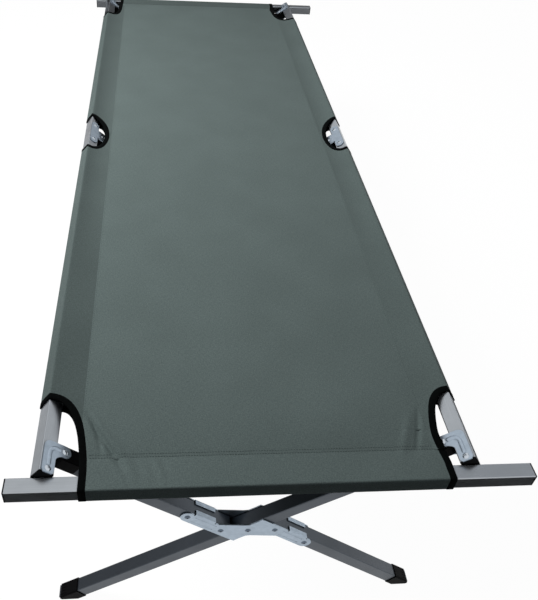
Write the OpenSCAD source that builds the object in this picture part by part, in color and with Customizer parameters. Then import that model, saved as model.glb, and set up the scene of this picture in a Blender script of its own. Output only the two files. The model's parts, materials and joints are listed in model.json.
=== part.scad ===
// Folding cot: a canvas deck on two jointed side rails, carried by three scissor leg frames.
// X runs across the bed, Y along it from the foot end to the head end, Z up from the floor.
// The origin is on the floor, under the middle of the end bars.

/* [Bed] */
// Distance between the axes of the two side rails
rail_spacing = 620; // [580:1:660]
// Length of a side rail, from one plug face to the other
rail_length = 1930; // [1800:1:2000]
// Height of the rail axes above the floor
rail_height = 444; // [430:1:460]
// Height of the scissor pivots above the floor
pivot_height = 225; // [215:1:235]

/* [Tubing] */
// Outside width of the square aluminium tube
tube = 24; // [22:0.5:26]
// Wall of the tube
tube_wall = 1.5; // [1.2:0.1:2]
// Outside corner radius of the tube
tube_corner = 1.6; // [1.6:0.1:2.6]
// Gap where the two halves of a rail meet
rail_split = 0.8; // [0.3:0.1:0.9]
// Play of a plug or spigot inside a tube, on each side
plug_play = 0.1; // [0.05:0.05:0.2]

/* [End bars] */
// Reach of an end bar with its cap past the axis of the left rail
overhang_left = 51; // [40:1:90]
// Reach of an end bar with its cap past the axis of the right rail
overhang_right = 93; // [40:1:110]
// How far the bar axis lies below the rail axis
bar_drop = 12; // [10:0.5:14]
// Play between a bar and the rail ends
bar_play = 0.3; // [0.2:0.1:0.6]
// Thickness of the lip of an end cap or a rail plug
cap_lip = 2; // [1.5:0.1:3]
// Depth of an end cap inside the bar
cap_depth = 14; // [8:1:24]
// Radius of the steel pin that joins a rail plug to the bar
pin_r = 2.5; // [2:0.1:2.6]
// Reach of the pin past the plug face
pin_reach = 9; // [6:0.5:12]
// Length of the pin inside the plug
pin_hold = 15; // [10:0.5:17]
// How far the pin lies from the rail axis, inward along the tilted face
pin_in = 7; // [6.5:0.1:7.2]
// How far the pin lies from the rail axis, square to the tilted face
pin_low = 5; // [4:0.5:6]
// Play of the pin in the hole of the bar and in the plug
pin_play = 0.06; // [0.02:0.01:0.1]

/* [Leg frames] */
// Distance of the outer leg frames from the rail ends
leg_inset = 43; // [38:0.5:50]
// Distance between the axis of the through leg and that of a half leg
leg_offset = 27.5; // [27:0.1:30]
// Distance from the pivot to the cut inner end of a half leg
half_leg_start = 25; // [23:0.5:28]
// Play between the round top of a leg and the rail
leg_top_play = 0.5; // [0.3:0.1:0.8]
// Length of the nylon leg top that shows below its rivet
leg_top_length = 30; // [24:1:36]
// Length of the leg top inside the leg tube
leg_top_spigot = 20; // [12:1:30]

/* [Boots] */
// Wall of a boot around the leg tube
boot_wall = 1.5; // [1.4:0.1:2.4]
// Length of the boot's sleeve above its heel
boot_grip = 11; // [8:1:20]
// Thickness of the sole under the tube
boot_sole = 4; // [3:0.5:5]
// Radius of the toe of the boot
boot_toe = 5; // [4:0.5:6]
// Radius of the heel of the boot
boot_heel = 8; // [6:0.5:10]
// Play between the boot and the leg tube
boot_play = 0.1; // [0.05:0.05:0.2]

/* [Rivets] */
// Radius of a rivet shank
rivet_r = 3; // [2.5:0.1:3.5]
// Radius of a rivet head
rivet_head_r = 5; // [4.5:0.1:6]
// Height of a rivet head
rivet_head_h = 1.8; // [1.2:0.1:2.4]
// Radius of the hollow in the end of a tubular rivet
rivet_hollow_r = 1.6; // [1:0.1:2]
// Play of a rivet shank in its hole
rivet_play = 0.06; // [0.02:0.01:0.1]

/* [Pressed plates] */
// Sheet thickness of the brackets, hinge plates and scissor plates
sheet = 2; // [1.5:0.1:2.2]
// Play between the scissor plates and the legs they clasp
scissor_play = 0.2; // [0.1:0.05:0.3]
// Half width of a corner bracket's arms
bracket_half = 10; // [9:0.5:11]
// Distance of a corner bracket's end rivet from the rail end
end_rivet_inset = 7; // [6.5:0.5:12]
// Radius of the fillet between the arms of a corner bracket
bracket_fillet = 11; // [6:0.5:12]
// Width of the pressed rib on a corner bracket
rib_width = 7; // [6:0.5:9]
// Height of the pressed rib on a corner bracket
rib_height = 1.4; // [1:0.1:1.6]
// Distance between the two rail rivets of a middle hinge plate
hinge_rivet_gap = 64; // [56:1:72]
// Length of the half of a middle hinge plate that lies beyond a rail rivet
hinge_tail = 14; // [11:0.5:18]
// Half width of the leg arm of a middle hinge plate
hinge_arm_half = 18; // [15:0.5:20]
// Distance from the pivot to the inner rivet of a half leg
inner_rivet = 37; // [34:0.5:42]
// Distance from the pivot to the outer rivet of a half leg
outer_rivet = 110; // [100:1:120]
// Where along an arm the waist of a scissor plate begins
waist_start = 52; // [46:1:56]
// How far along and above the pivot the waist turns level
waist_turn = [14, 9.2]; // [8:0.1:16]
// How far along and above the pivot the waist begins to rise to the other arm
waist_rise = [8.5, 15]; // [5:0.1:18]
// How far along and above the pivot the waist meets the other arm
waist_end = [5, 28.2]; // [2:0.1:32]
// Width and depth of the notches beside a bent tab
tab_notch = 2; // [1:0.5:3]
// Radius of the pressed lines on a scissor plate
groove_r = 1.5; // [1:0.1:2]
// Depth of the pressed lines on a scissor plate
groove_depth = 0.6; // [0.3:0.1:1]
// Where the bent tab of a scissor plate begins
tab_start = 60; // [54:1:66]
// Length of the bent tab
tab_length = 43; // [36:1:46]
// Reach of the bent tab over the leg
tab_reach = 7; // [5:0.5:9]

/* [Canvas] */
// Thickness of the canvas
cloth = 1.2; // [0.8:0.1:1.6]
// Play between the canvas and the tubes
cloth_play = 0.3; // [0.2:0.1:0.5]
// Distance of the sleeve seam from the rail axis
sleeve_seam = 49; // [44:1:56]
// Distance of the cross seam from the rail ends
cross_seam = 25; // [18:1:30]
// Distance from the rail ends over which the deck slopes down to the bar
deck_slope = 60; // [50:1:70]
// How far the sleeve seams are pulled down below the tops of the rails
seam_dip = 9; // [5:0.5:11]
// Width of the corner cut-outs, from the rail axis inward
corner_cut_w = 44; // [40:1:52]
// Length of the corner cut-outs along the rail, at the foot end
foot_cut_l = 125; // [110:1:140]
// Length of the corner cut-outs along the rail, at the head end
head_cut_l = 155; // [120:1:170]
// Distance of the pocket ends from the rail axis
pocket_cut = 40; // [36:1:50]
// Depth of the middle cut-outs, from the rail axis inward
middle_cut_w = 34; // [28:1:35]
// Half length of the middle cut-outs along the rail
middle_cut_l = 74; // [68:1:86]
// Width of the binding tape
binding = 10.5; // [8:0.5:13]
// How much the binding stands proud of the canvas on each side
binding_proud = 0.5; // [0.3:0.1:0.8]

/* [Hidden] */
$fn = 48;

STATIONS = ["foot", "middle", "head"];
bar_length = overhang_left + rail_spacing + overhang_right;
frame_x = (overhang_left - overhang_right) / 2;
half_tube = tube / 2;
bore = tube - 2 * tube_wall;
bore_corner = tube_corner - tube_wall + 0.3;
half_rail = rail_length / 2;
half_spacing = rail_spacing / 2;
through_angle = atan((rail_height - pivot_height) / half_spacing);
reach = norm([half_spacing, rail_height - pivot_height]);
half_angle = through_angle + asin(leg_offset / reach);
half_reach = sqrt(pow(reach, 2) - pow(leg_offset, 2));
leg_rivet_in = tube + leg_top_play;
bar_y = half_rail + bar_play + half_tube;
bar_z = rail_height - bar_drop;
plate_level = half_tube + sheet;
stack = tube + 2 * sheet;
scissor_stack = tube + 2 * (sheet + scissor_play);
boot_half = half_tube + boot_play + boot_wall;
rib_radius = (pow(rib_width / 2, 2) + pow(rib_height, 2)) / (2 * rib_height);
// Height of the upper edge of the more tilted rail above its axis
ridge_rise = (half_tube - tube_corner) * (cos(half_angle) + sin(half_angle)) + tube_corner;
seam_rise = ridge_rise + cloth_play - seam_dip;
deck_under = rail_height + seam_rise;
pocket_under = bar_z + half_tube + cloth_play;
// Where the canvas starts to slope down to a bar, and where it ends at the pocket's seam
fall_from = half_rail - deck_slope;
fall_to = half_rail - cross_seam - cloth - cloth_play;

function station_y(name) = name == "foot" ? leg_inset - half_rail : name == "head" ? half_rail - leg_inset : 0;
function away(name) = name == "head" ? 1 : -1;
function tilt(side) = side == "left" ? half_angle : through_angle;
// Where the heel and the rim of a boot lie along a leg of the given slope, from the floor line
function heel_x(slope) = (boot_heel + (boot_half - boot_heel) * cos(slope)) / sin(slope);
function boot_rim(slope) = heel_x(slope) + boot_grip;
// Where a leg's axis meets the floor, along the leg, for an axis at the given height over the pivot
function floor_x(slope, offset = 0) = -(pivot_height + offset * cos(slope)) / sin(slope);

// ---- frames of reference ----

// The plane of the through legs: X along the leg towards the right rail, Z square to its upper face
module right_plane(y) {
    translate([frame_x, y, pivot_height]) rotate([0, -through_angle, 0]) children();
}

// The plane of the half legs: X along the leg towards the left rail, Z square to its upper face
module left_plane(y) {
    translate([frame_x, y, pivot_height]) mirror([1, 0, 0]) rotate([0, -half_angle, 0]) children();
}

// The tilted axes of a side rail: X points away from the leg, Z up and inward
module rail_axes(side, y = 0) {
    if (side == "left") left_plane(y) translate([half_reach, 0, -leg_offset]) children();
    else right_plane(y) translate([reach, 0, 0]) children();
}

// What is drawn for the foot end, at that end or mirrored at the head end
module at_end(end) {
    if (end == "head") mirror([0, 1, 0]) children();
    else children();
}

// What is drawn for the outside of one plate, on the upper or the lower face of a tube
module on_face(face) {
    if (face == "lower") mirror([0, 0, 1]) children();
    else children();
}

// ---- profiles ----

module rounded_square(size, r) {
    square([size, size - 2 * r], center = true);
    square([size - 2 * r, size], center = true);
    for (x = [-1, 1], y = [-1, 1]) translate([x, y] * (size / 2 - r)) circle(r);
}

module tube_section() {
    difference() {
        rounded_square(tube, tube_corner);
        rounded_square(bore, bore_corner);
    }
}

module along_x(from, to) {
    translate([from, 0, 0]) rotate([90, 0, 90]) linear_extrude(to - from) children();
}

module along_y(from, to) {
    translate([0, from, 0]) rotate([90, 0, 180]) linear_extrude(to - from) children();
}

// ---- fasteners ----

// A tubular rivet along Z that clamps a stack of the given height about the origin
module rivet(height) {
    dome = (pow(rivet_head_r, 2) + pow(rivet_head_h, 2)) / (2 * rivet_head_h);
    difference() {
        union() {
            cylinder(h = height, r = rivet_r, center = true);
            for (end = [0, 1]) mirror([0, 0, end]) translate([0, 0, height / 2]) intersection() {
                cylinder(h = rivet_head_h, r = rivet_head_r);
                translate([0, 0, rivet_head_h - dome]) sphere(dome);
            }
        }
        translate([0, 0, height / 2 + rivet_head_h / 2]) cylinder(h = rivet_head_h, r = rivet_hollow_r);
    }
}

module rivet_hole(height) {
    cylinder(h = height, r = rivet_r + rivet_play, center = true);
}

// ---- side rails ----

module rail_half(side, end) {
    color("silver") rail_axes(side) at_end(end) difference() {
        along_y(cap_lip - half_rail, -rail_split / 2) tube_section();
        translate([0, end_rivet_inset - half_rail, 0]) rivet_hole(2 * tube);
        translate([0, -hinge_rivet_gap / 2, 0]) rivet_hole(2 * tube);
    }
}

module pin_bore(from, to) {
    translate([-pin_in, from - half_rail, -pin_low]) rotate([-90, 0, 0])
        cylinder(h = to - from, r = pin_r + pin_play);
}

// The nylon plugs that close the rail ends and hold the pins
module rail_plugs(side) {
    plug_depth = end_rivet_inset + bracket_half;
    color([0.08, 0.08, 0.09]) rail_axes(side) for (end = ["foot", "head"]) at_end(end) difference() {
        union() {
            along_y(-half_rail, cap_lip - half_rail) rounded_square(tube, tube_corner);
            along_y(-half_rail, plug_depth - half_rail)
                rounded_square(bore - 2 * plug_play, bore_corner);
        }
        translate([0, end_rivet_inset - half_rail, 0]) rivet_hole(2 * tube);
        pin_bore(-1, pin_hold);
    }
}

// The steel pins on which the end bars sit
module rail_pins(side) {
    color("gainsboro") rail_axes(side) for (end = ["foot", "head"]) at_end(end)
        translate([-pin_in, -half_rail - pin_reach, -pin_low]) rotate([-90, 0, 0])
        cylinder(h = pin_reach + pin_hold, r = pin_r);
}

// ---- corner brackets and middle hinge plates ----

// Plan of a corner bracket: one arm along the rail, one inward to the leg rivet
module bracket_plan() {
    rail_end = -half_rail;
    leg_y = rail_end + leg_inset;
    for (p = [[0, leg_y], [-leg_rivet_in, leg_y]]) translate(p) circle(bracket_half);
    intersection() {
        translate([0, rail_end + end_rivet_inset]) circle(bracket_half);
        translate([-tube, rail_end]) square(2 * tube);
    }
    translate([-bracket_half, rail_end + end_rivet_inset])
        square([2 * bracket_half, leg_inset - end_rivet_inset]);
    translate([-leg_rivet_in, leg_y - bracket_half]) square([leg_rivet_in, 2 * bracket_half]);
    translate([-bracket_half, leg_y - bracket_half]) difference() {
        translate([-bracket_fillet, -bracket_fillet]) square(bracket_fillet);
        translate([-bracket_fillet, -bracket_fillet]) circle(bracket_fillet);
    }
}

// The pressed rib of a corner bracket: a round bar, bent once, that stands out of the sheet
module bracket_rib() {
    leg_y = leg_inset - half_rail;
    bend = bracket_half;
    rail_run = leg_inset - end_rivet_inset - bend - rivet_head_r - rib_width / 2;
    leg_run = leg_rivet_in - bend - rivet_head_r - rib_width / 2;
    intersection() {
        translate([-bend, leg_y - bend, rib_height - rib_radius]) {
            rotate_extrude(angle = 90) translate([bend, 0]) circle(rib_radius);
            translate([bend, -rail_run, 0]) along_y(0, rail_run) circle(rib_radius);
            translate([-leg_run, bend, 0]) along_x(0, leg_run) circle(rib_radius);
            translate([bend, -rail_run, 0]) sphere(rib_radius);
            translate([-leg_run, bend, 0]) sphere(rib_radius);
        }
        translate([-2 * tube, -half_rail, -sheet / 4]) cube([3 * tube, leg_inset + tube, sheet]);
    }
}

module corner_bracket(side, end, face) {
    color("lightsteelblue") rail_axes(side) at_end(end) on_face(face) difference() {
        union() {
            translate([0, 0, half_tube]) linear_extrude(sheet) bracket_plan();
            translate([0, 0, plate_level]) bracket_rib();
        }
        translate([0, end_rivet_inset - half_rail, 0]) rivet_hole(2 * tube);
        translate([-leg_rivet_in, leg_inset - half_rail, 0]) rivet_hole(2 * tube);
    }
}

// Plan of a middle hinge plate: a bar over both rail halves and an arm inward to the leg rivet
module hinge_plan() {
    bar_half = hinge_rivet_gap / 2;
    arm_end = leg_rivet_in + bracket_half;
    relief = 2;
    difference() {
        union() {
            for (y = [-1, 1]) translate([0, y * (bar_half + hinge_tail - bracket_half)]) circle(bracket_half);
            square([2 * bracket_half, 2 * (bar_half + hinge_tail - bracket_half)], center = true);
            translate([-arm_end + bracket_half, -hinge_arm_half])
                square([arm_end - bracket_half, 2 * hinge_arm_half]);
            for (y = [-1, 1]) translate([-leg_rivet_in, y * (hinge_arm_half - bracket_half)])
                circle(bracket_half);
            translate([-arm_end, bracket_half - hinge_arm_half])
                square([arm_end, 2 * (hinge_arm_half - bracket_half)]);
        }
        for (y = [-1, 1]) translate([-bracket_half - relief / 2, y * (hinge_arm_half + relief / 2)])
            circle(relief);
    }
}

module hinge_plate(side, face) {
    color("lightsteelblue") rail_axes(side) on_face(face) difference() {
        translate([0, 0, half_tube]) linear_extrude(sheet) hinge_plan();
        for (y = [-1, 1]) translate([0, y * hinge_rivet_gap / 2, 0]) rivet_hole(2 * tube);
        translate([-leg_rivet_in, 0, 0]) rivet_hole(2 * tube);
    }
}

module rail_rivets(side) {
    color("gainsboro") rail_axes(side) {
        for (end = ["foot", "head"]) at_end(end) {
            translate([0, end_rivet_inset - half_rail, 0]) rivet(stack);
            translate([-leg_rivet_in, leg_inset - half_rail, 0]) rivet(stack);
        }
        for (y = [-1, 1]) translate([0, y * hinge_rivet_gap / 2, 0]) rivet(stack);
        translate([-leg_rivet_in, 0, 0]) rivet(stack);
    }
}

// ---- legs ----

// Everything above the inside of the boot soles
module above_soles(clearance = 0) {
    far = rail_spacing + 2 * tube;
    intersection() {
        children();
        translate([-far, -rail_length, boot_sole - clearance]) cube([2 * far, 2 * rail_length, far]);
    }
}

module through_leg(station) {
    top = reach - leg_rivet_in - leg_top_length;
    color("silver") above_soles() right_plane(station_y(station)) difference() {
        along_x(min(-reach - tube, floor_x(through_angle) - half_tube), top) tube_section();
        rotate([90, 0, 0]) rivet_hole(2 * tube);
    }
}

module upper_half_leg(station) {
    top = half_reach - leg_rivet_in - leg_top_length;
    color("silver") left_plane(station_y(station)) translate([0, 0, -leg_offset]) difference() {
        along_x(half_leg_start, top) tube_section();
        for (x = [inner_rivet, outer_rivet]) translate([x, 0, 0]) rotate([90, 0, 0]) rivet_hole(2 * tube);
    }
}

module lower_half_leg(station) {
    color("silver") above_soles() left_plane(station_y(station)) translate([0, 0, leg_offset]) difference() {
        along_x(floor_x(half_angle, leg_offset) - tube, -half_leg_start) tube_section();
        for (x = [inner_rivet, outer_rivet]) translate([-x, 0, 0]) rotate([90, 0, 0]) rivet_hole(2 * tube);
    }
}

// The nylon top of a leg: a round nose that swings between the plates, and a spigot in the tube
module leg_top(rivet_x) {
    difference() {
        union() {
            intersection() {
                linear_extrude(tube, center = true) {
                    translate([rivet_x, 0]) circle(half_tube);
                    translate([rivet_x - leg_top_length, -half_tube]) square([leg_top_length, tube]);
                }
                along_x(rivet_x - leg_top_length, rivet_x + tube) rounded_square(tube, tube_corner);
            }
            along_x(rivet_x - leg_top_length - leg_top_spigot, rivet_x - half_tube)
                rounded_square(bore - 2 * plug_play, bore_corner);
        }
        translate([rivet_x, 0, 0]) rivet_hole(2 * tube);
    }
}

module leg_tops(side) {
    color([0.08, 0.08, 0.09]) for (station = STATIONS) {
        if (side == "left") left_plane(station_y(station)) translate([0, 0, -leg_offset])
            leg_top(half_reach - leg_rivet_in);
        else right_plane(station_y(station)) leg_top(reach - leg_rivet_in);
    }
}

// Side view of a boot on a leg at the given slope. The origin is where the leg axis meets the floor.
module boot_side(slope) {
    toe = [(boot_toe - (boot_half - boot_toe) * cos(slope)) / sin(slope), boot_half - boot_toe];
    heel = [heel_x(slope), boot_heel - boot_half];
    down = [-sin(slope), -cos(slope)];
    rim = boot_rim(slope);
    translate(toe) circle(boot_toe);
    translate(heel) circle(boot_heel);
    polygon([
        toe + [0, boot_toe], [rim, boot_half], [rim, -boot_half],
        heel - [0, boot_heel], heel + boot_heel * down, toe + boot_toe * down
    ]);
}

// A boot on a leg whose axis lies at the given height over the pivot, square to the leg
module boot(slope, offset) {
    width = 2 * boot_half;
    grooves = 4;
    translate([floor_x(slope, offset), 0, offset]) difference() {
        intersection() {
            rotate([90, 0, 0]) linear_extrude(width, center = true) boot_side(slope);
            along_x(-2 * tube, boot_rim(slope)) rounded_square(width, tube_corner + boot_wall);
        }
        for (i = [1:grooves]) translate([-tube, width * (i / (grooves + 1) - 0.5) - 0.6, boot_half - 0.7])
            cube([tube + boot_heel, 1.2, 2]);
    }
}

module boots(leg) {
    color([0.08, 0.08, 0.09]) for (station = STATIONS) difference() {
        if (leg == "through") right_plane(station_y(station)) boot(through_angle, 0);
        else left_plane(station_y(station)) boot(half_angle, leg_offset);
        above_soles(boot_play) {
            if (leg == "through") right_plane(station_y(station))
                along_x(floor_x(through_angle) - tube, 0) rounded_square(tube + 2 * boot_play, tube_corner);
            else left_plane(station_y(station)) translate([0, 0, leg_offset])
                along_x(floor_x(half_angle, leg_offset) - tube, 0)
                    rounded_square(tube + 2 * boot_play, tube_corner);
        }
    }
}

// ---- scissor plates ----

// Outline of a scissor plate about the pivot: two offset arms joined by a waist
module scissor_outline() {
    corner = 6;
    for (turn = [0, 180]) rotate(turn) {
        translate([outer_rivet, -leg_offset]) circle(half_tube);
        translate([corner / 2, -leg_offset - half_tube]) square([outer_rivet - corner / 2, tube]);
        translate([corner / 2, corner - leg_offset - half_tube]) circle(corner);
    }
    waist = [[waist_start, half_tube - leg_offset], waist_turn, waist_rise, waist_end,
        [corner / 2, leg_offset + half_tube]];
    polygon(concat(waist, -waist));
}

// A tab bent over the upper face of a half leg. Z is up from that face, Y 0 is the leg's middle.
module scissor_tab(from) {
    face = half_tube + scissor_play;
    bend = sheet + scissor_play;
    translate([from, 0, scissor_play]) {
        translate([0, -face, 0]) cube([tab_length, tab_reach, sheet]);
        translate([0, -face - sheet, -2 * bend]) cube([tab_length, sheet, 2 * bend]);
        translate([0, -face, 0]) intersection() {
            along_x(0, tab_length) circle(sheet);
            translate([0, -sheet, 0]) cube([tab_length, sheet, sheet]);
        }
    }
}

// The notches in the plate edge at both ends of a tab
module tab_notches(from) {
    for (x = [from - tab_notch, from + tab_length])
        translate([x, -tube, -tab_notch]) cube([tab_notch, tube, 2 * tube]);
}

// The front plate; the back plate is its mirror image
module scissor_plate(station, face) {
    inner_face = half_tube + scissor_play;
    color("lightsteelblue") left_plane(station_y(station)) mirror([0, face == "back" ? 1 : 0, 0]) difference() {
        union() {
            translate([0, -inner_face, 0]) rotate([90, 0, 0]) linear_extrude(sheet) scissor_outline();
            translate([0, 0, half_tube - leg_offset]) scissor_tab(tab_start);
            translate([0, 0, half_tube + leg_offset]) scissor_tab(-tab_start - tab_length);
        }
        rotate([90, 0, 0]) rivet_hole(4 * tube);
        for (turn = [0, 180], x = [inner_rivet, outer_rivet])
            rotate([0, turn, 0]) translate([x, 0, -leg_offset]) rotate([90, 0, 0]) rivet_hole(4 * tube);
        translate([0, 0, half_tube - leg_offset]) tab_notches(tab_start);
        translate([0, 0, half_tube + leg_offset]) tab_notches(-tab_start - tab_length);
        for (turn = [0, 180], z = [-1, 1]) rotate([0, turn, 0])
            translate([0, groove_depth - inner_face - sheet - groove_r, z * half_tube / 2 - leg_offset])
            along_x(waist_start, outer_rivet - half_tube) circle(groove_r);
    }
}

module scissor_rivets(station) {
    color("gainsboro") left_plane(station_y(station)) rotate([90, 0, 0]) {
        rivet(scissor_stack);
        for (turn = [0, 180], x = [inner_rivet, outer_rivet])
            rotate(turn) translate([x, -leg_offset, 0]) rivet(scissor_stack);
    }
}

// ---- end bars ----

module bar_place(end) {
    translate([0, away(end) * bar_y, bar_z]) children();
}

module end_bar(end) {
    color("silver") difference() {
        bar_place(end) along_x(cap_lip - bar_length / 2, bar_length / 2 - cap_lip) tube_section();
        for (side = ["left", "right"]) rail_axes(side) at_end(end) pin_bore(-half_tube, 0);
    }
}

module bar_caps(end) {
    color([0.08, 0.08, 0.09]) for (side = [0, 1]) bar_place(end) mirror([side, 0, 0]) {
        along_x(bar_length / 2 - cap_lip, bar_length / 2) rounded_square(tube, tube_corner);
        along_x(bar_length / 2 - cap_lip - cap_depth, bar_length / 2 - cap_lip)
            rounded_square(bore - 2 * plug_play, bore_corner);
    }
}

// ---- canvas ----

// Section of a sleeve grown by the given play: a drop about the tilted rail, drawn to its seam
module sleeve_drop(side, grow, seam, seam_r) {
    hull() {
        rotate(-tilt(side)) rounded_square(tube + 2 * grow, tube_corner + grow);
        translate([seam, seam_rise]) circle(seam_r, $fn = 16);
    }
}

module sleeve_section(side, proud) {
    difference() {
        sleeve_drop(side, cloth_play + cloth + proud, sleeve_seam, cloth + proud);
        sleeve_drop(side, cloth_play, sleeve_seam - 6 * cloth, 0.1);
    }
}

// Section of a pocket about an end bar, drawn to the cross seam
module pocket_section(proud) {
    seam = half_tube + bar_play + cross_seam;
    difference() {
        hull() {
            square(tube + 2 * (cloth_play + cloth + proud), center = true);
            translate([seam, half_tube + cloth_play]) circle(cloth + proud, $fn = 16);
        }
        hull() {
            square(tube + 2 * cloth_play, center = true);
            translate([seam - 6 * cloth, half_tube + cloth_play]) circle(0.1, $fn = 8);
        }
    }
}

// Plan of the cut-outs along both rails, grown all round
module cut_plans(grow) {
    for (side = [-1, 1]) translate([frame_x + side * half_spacing, 0]) {
        for (end = [-1, 1]) translate([0, end * half_rail])
            scale([corner_cut_w + grow, (end < 0 ? foot_cut_l : head_cut_l) + grow]) circle(1, $fn = 72);
        scale([middle_cut_w + grow, middle_cut_l + grow]) circle(1, $fn = 72);
    }
}

// Side view of the deck, as thick as the canvas plus what stands proud, up to a gap before the seams
module deck_side(proud, gap) {
    seam = fall_to - gap;
    polygon([
        [-seam, pocket_under - proud], [-fall_from, deck_under - proud],
        [fall_from, deck_under - proud], [seam, pocket_under - proud],
        [seam, pocket_under + cloth + proud], [fall_from, deck_under + cloth + proud],
        [-fall_from, deck_under + cloth + proud], [-seam, pocket_under + cloth + proud]
    ]);
}

// The sloped ends of the deck, as far out as the rail
module slope_sides(proud) {
    difference() {
        deck_side(proud, 0);
        translate([-fall_from, 0]) square([2 * fall_from, rail_height + tube]);
    }
}

module deck_panel() {
    half_width = half_spacing - sleeve_seam - cloth - cloth_play;
    color([0.36, 0.41, 0.39]) difference() {
        translate([frame_x, 0, 0]) along_x(-half_width, half_width)
            deck_side(0, binding_proud);
        linear_extrude(rail_height + tube) cut_plans(binding + cloth_play);
    }
}

// A tube of the given sleeve section along one rail, up to where the deck starts to slope
module sleeve_run(side, proud) {
    translate([frame_x, 0, rail_height]) mirror([side == "left" ? 0 : 1, 0, 0])
        translate([-half_spacing, 0, 0]) rotate([90, 0, 0])
        linear_extrude(2 * fall_from, center = true) sleeve_section(side, proud);
}

module sleeves(side) {
    color([0.34, 0.39, 0.37]) difference() {
        sleeve_run(side, 0);
        linear_extrude(rail_height + 2 * tube) cut_plans(binding + cloth_play);
    }
}

module pocket(end) {
    half_width = half_spacing - pocket_cut - binding - cloth_play;
    color([0.34, 0.39, 0.37]) translate([frame_x, 0, 0]) at_end(end) bar_place("foot")
        along_x(-half_width, half_width) pocket_section(0);
}

// The binding tape round one side's cut-outs: it wraps the canvas edge on deck, sleeve and pocket
module bindings(side) {
    rim_x = half_spacing - pocket_cut;
    color([0.05, 0.05, 0.05]) {
        intersection() {
            union() {
                sleeve_run(side, binding_proud);
                translate([frame_x, 0, 0]) mirror([side == "left" ? 1 : 0, 0, 0]) {
                    along_x(0, half_spacing - sleeve_seam) deck_side(binding_proud, 0);
                    along_x(half_spacing - sleeve_seam, half_spacing) slope_sides(binding_proud);
                }
            }
            linear_extrude(rail_height + 2 * tube) difference() {
                cut_plans(binding);
                cut_plans(0);
            }
        }
        for (end = ["foot", "head"]) translate([frame_x, 0, 0])
            mirror([side == "left" ? 1 : 0, 0, 0]) at_end(end) bar_place("foot")
            along_x(rim_x - binding, rim_x) pocket_section(binding_proud);
    }
}

// ---- the assembly ----

rail_half("left", "foot");  // left_rail_foot_half
rail_half("left", "head");  // left_rail_head_half
rail_half("right", "foot");  // right_rail_foot_half
rail_half("right", "head");  // right_rail_head_half
rail_plugs("left");  // left_rail_plugs
rail_plugs("right");  // right_rail_plugs
rail_pins("left");  // left_rail_pins
rail_pins("right");  // right_rail_pins
corner_bracket("left", "foot", "upper");  // left_foot_bracket_upper
corner_bracket("left", "foot", "lower");  // left_foot_bracket_lower
corner_bracket("left", "head", "upper");  // left_head_bracket_upper
corner_bracket("left", "head", "lower");  // left_head_bracket_lower
corner_bracket("right", "foot", "upper");  // right_foot_bracket_upper
corner_bracket("right", "foot", "lower");  // right_foot_bracket_lower
corner_bracket("right", "head", "upper");  // right_head_bracket_upper
corner_bracket("right", "head", "lower");  // right_head_bracket_lower
hinge_plate("left", "upper");  // left_hinge_plate_upper
hinge_plate("left", "lower");  // left_hinge_plate_lower
hinge_plate("right", "upper");  // right_hinge_plate_upper
hinge_plate("right", "lower");  // right_hinge_plate_lower
rail_rivets("left");  // left_rail_rivets
rail_rivets("right");  // right_rail_rivets
through_leg("foot");  // foot_through_leg
through_leg("middle");  // middle_through_leg
through_leg("head");  // head_through_leg
upper_half_leg("foot");  // foot_upper_half_leg
upper_half_leg("middle");  // middle_upper_half_leg
upper_half_leg("head");  // head_upper_half_leg
lower_half_leg("foot");  // foot_lower_half_leg
lower_half_leg("middle");  // middle_lower_half_leg
lower_half_leg("head");  // head_lower_half_leg
scissor_plate("foot", "front");  // foot_scissor_plate_front
scissor_plate("foot", "back");  // foot_scissor_plate_back
scissor_plate("middle", "front");  // middle_scissor_plate_front
scissor_plate("middle", "back");  // middle_scissor_plate_back
scissor_plate("head", "front");  // head_scissor_plate_front
scissor_plate("head", "back");  // head_scissor_plate_back
scissor_rivets("foot");  // foot_scissor_rivets
scissor_rivets("middle");  // middle_scissor_rivets
scissor_rivets("head");  // head_scissor_rivets
leg_tops("left");  // left_leg_tops
leg_tops("right");  // right_leg_tops
boots("half");  // half_leg_boots
boots("through");  // through_leg_boots
end_bar("foot");  // foot_bar
end_bar("head");  // head_bar
bar_caps("foot");  // foot_bar_caps
bar_caps("head");  // head_bar_caps
deck_panel();
sleeves("left");  // left_sleeves
sleeves("right");  // right_sleeves
pocket("foot");  // foot_pocket
pocket("head");  // head_pocket
bindings("left");  // left_bindings
bindings("right");  // right_bindings
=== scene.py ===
import json
import math

import bmesh
import bpy
import numpy as np
from mathutils import Matrix, Vector, noise


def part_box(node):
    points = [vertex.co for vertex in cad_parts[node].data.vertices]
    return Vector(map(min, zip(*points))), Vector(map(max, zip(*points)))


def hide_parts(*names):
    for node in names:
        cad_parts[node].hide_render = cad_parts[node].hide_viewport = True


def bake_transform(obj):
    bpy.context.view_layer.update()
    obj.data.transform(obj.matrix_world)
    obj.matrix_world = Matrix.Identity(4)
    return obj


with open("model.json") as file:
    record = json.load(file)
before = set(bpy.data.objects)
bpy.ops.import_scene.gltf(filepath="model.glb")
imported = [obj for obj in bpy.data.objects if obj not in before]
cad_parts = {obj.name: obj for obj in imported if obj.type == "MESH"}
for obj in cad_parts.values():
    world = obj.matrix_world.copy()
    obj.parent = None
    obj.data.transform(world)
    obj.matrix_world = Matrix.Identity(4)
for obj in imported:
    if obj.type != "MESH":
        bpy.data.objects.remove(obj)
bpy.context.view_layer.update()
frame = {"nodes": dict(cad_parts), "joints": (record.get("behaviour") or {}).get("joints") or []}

bl_info = {
    "name": "Folding camp cot",
    "version": (1, 0, 0),
    "blender": (4, 5, 0),
    "location": "3D View > Sidebar > Cot",
    "description": "Dresses the cot's metal frame with sewn canvas, tape, thread and real finishes",
    "category": "Object",
}

MM = 0.001


# ---- what the frame gives ----

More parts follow.
